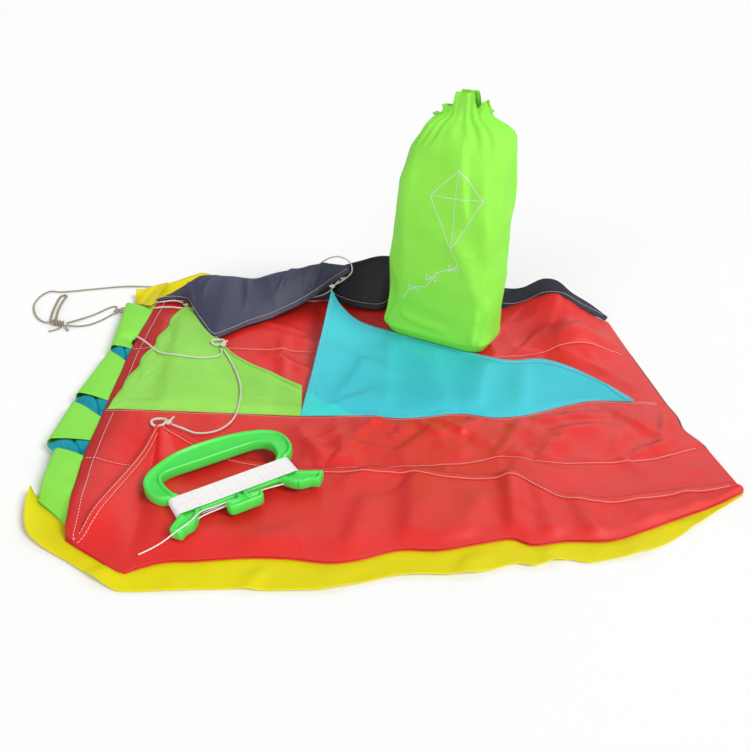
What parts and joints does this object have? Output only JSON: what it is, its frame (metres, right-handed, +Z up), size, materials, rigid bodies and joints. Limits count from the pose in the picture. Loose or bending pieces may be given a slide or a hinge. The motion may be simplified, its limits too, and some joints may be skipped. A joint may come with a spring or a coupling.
{
  "type": "pocket kite",
  "caption": "Frameless cell kite of coloured cloth laid out bridle side up, with keels, cord bridle and tow loop, a wound line winder and a standing drawstring bag.",
  "frame": {"origin": "on the floor under the middle of the laid-out sail", "axes": "+X from the nose of the kite to its trailing edge, +Y from the near side to the far side, +Z up"},
  "size_m": [0.6579, 0.4659, 0.239],
  "materials": {
    "red_cloth": "thin woven nylon, red",
    "navy_cloth": "thin woven nylon, navy",
    "green_cloth": "thin woven nylon, light green",
    "blue_cloth": "thin woven nylon, blue",
    "yellow_cloth": "thin woven nylon, yellow",
    "cyan_cloth": "thin woven nylon, turquoise",
    "bridle_cord": "braided white cord",
    "white_ring": "white plastic ring",
    "winder_plastic": "glossy green moulded plastic",
    "flying_line": "twisted white line",
    "bag_cloth": "thin lime green bag cloth",
    "drawcord": "green drawcord"
  },
  "bodies": {
    "sail": {"lower_panel_1": "red_cloth", "lower_panel_2": "red_cloth", "lower_panel_3": "red_cloth", "lower_panel_4": "red_cloth", "upper_panel_1": "navy_cloth", "upper_panel_2": "navy_cloth", "upper_panel_3": "navy_cloth", "upper_panel_4": "navy_cloth", "nose_panel_1": "green_cloth", "nose_panel_2": "green_cloth", "nose_panel_3": "green_cloth", "nose_panel_4": "green_cloth", "rib_1": "blue_cloth", "rib_2": "blue_cloth", "rib_3": "blue_cloth", "side_panel_near": "yellow_cloth", "side_panel_far": "yellow_cloth", "near_keel": "red_cloth", "near_keel_ring": "white_ring", "bridle_near": "bridle_cord", "bridle_far_front": "bridle_cord", "bridle_mid_front": "bridle_cord", "bridle_far_rear": "bridle_cord", "bridle_mid_rear": "bridle_cord", "bridle_trunk_a": "bridle_cord", "bridle_trunk_b": "bridle_cord", "gather_knot": "bridle_cord", "tow_knot": "bridle_cord", "tow_loop": "bridle_cord", "tow_tail": "bridle_cord"},
    "mid_front_keel": {"mid_front_keel": "green_cloth", "mid_front_keel_knot": "bridle_cord"},
    "mid_rear_keel": {"mid_rear_keel": "cyan_cloth", "mid_rear_keel_knot": "bridle_cord"},
    "far_front_keel": {"far_front_keel": "navy_cloth", "far_front_keel_ring": "white_ring"},
    "far_rear_keel": {"far_rear_keel": "navy_cloth", "far_rear_keel_knot": "bridle_cord"},
    "winder": {"winder": "winder_plastic", "line_core": "flying_line", "line_winding": "flying_line", "line_tail": "flying_line"},
    "bag": {"bag": "bag_cloth", "drawcord": "drawcord", "drawcord_knot": "drawcord"}
  },
  "joints": [
    {"name": "mid_front_keel_stand", "type": "hinge", "parent": "sail", "child": "mid_front_keel", "pos_m": [-0.224, -0.046, 0.0166], "axis": [0.9958, 0.0495, -0.0773], "range_deg": [0, 90], "deforming": ["bridle_near", "bridle_far_front", "bridle_mid_front", "bridle_far_rear"]},
    {"name": "mid_rear_keel_stand", "type": "hinge", "parent": "sail", "child": "mid_rear_keel", "pos_m": [-0.058, -0.0375, 0.0041], "axis": [0.9983, 0.0576, 0], "range_deg": [0, 90], "deforming": ["bridle_mid_rear"]},
    {"name": "far_front_keel_stand", "type": "hinge", "parent": "sail", "child": "far_front_keel", "pos_m": [-0.05, 0.189, 0.0033], "axis": [-0.985, -0.1583, 0.0692], "range_deg": [0, 80], "deforming": ["bridle_near", "bridle_far_front", "bridle_mid_front", "bridle_far_rear", "bridle_mid_rear"]},
    {"name": "far_rear_keel_fold", "type": "hinge", "parent": "sail", "child": "far_rear_keel", "pos_m": [0.243, 0.1488, 0.0045], "axis": [-0.9843, 0.1763, -0.0046], "range_deg": [0, 60], "deforming": ["bridle_far_rear", "bridle_mid_rear"]},
    {"name": "winder_lift", "type": "slide", "parent": "sail", "child": "winder", "axis": [0, 0, 1], "range_m": [0, 0.3]},
    {"name": "bag_lift", "type": "slide", "parent": "sail", "child": "bag", "axis": [0, 0, 1], "range_m": [0, 0.3]}
  ]
}
